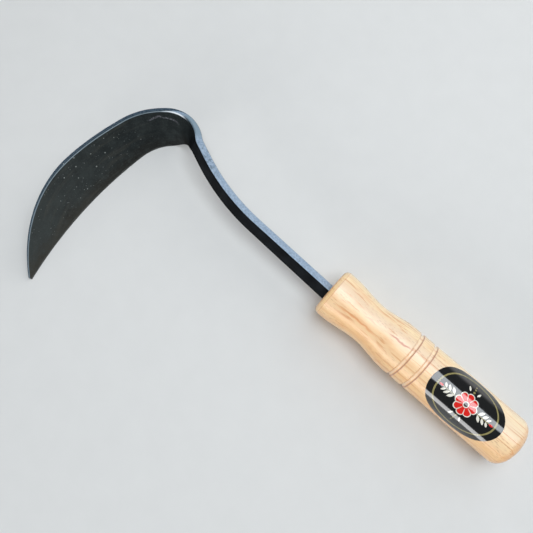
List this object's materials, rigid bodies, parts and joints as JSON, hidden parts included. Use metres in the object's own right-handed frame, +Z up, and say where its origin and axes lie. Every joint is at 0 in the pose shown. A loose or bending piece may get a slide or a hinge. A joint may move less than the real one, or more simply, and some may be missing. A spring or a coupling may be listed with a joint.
{
  "type": "japanese hand hoe",
  "caption": "Japanese hand hoe: thin curved forged blade on a rectangular steel neck, its tang set in a turned wooden handle with a waist, ring grooves and an oval label.",
  "frame": {"origin": "middle of the ground that the hoe covers, on the ground", "axes": "+X along the handle's axis from the butt towards the head, +Y to the side that the blade sweeps to, +Z up from the ground that the hoe lies on"},
  "size_m": [0.3146, 0.145, 0.0321],
  "materials": {
    "blade_iron": "thin black forge finish with a satin sheen",
    "edge_steel": "thin black finish, worn a little paler at the edge",
    "shank_iron": "thin black forge finish with fine scale, semi-gloss",
    "bedding_resin": "dull brown resin",
    "handle_wood": "pale, fine-grained wood under a thin satin varnish",
    "label_film": null
  },
  "bodies": {
    "root": {"blade": "blade_iron", "edge_steel": "edge_steel", "shank": "shank_iron", "tang_bedding": "bedding_resin", "handle": "handle_wood", "label": "label_film"}
  },
  "joints": []
}
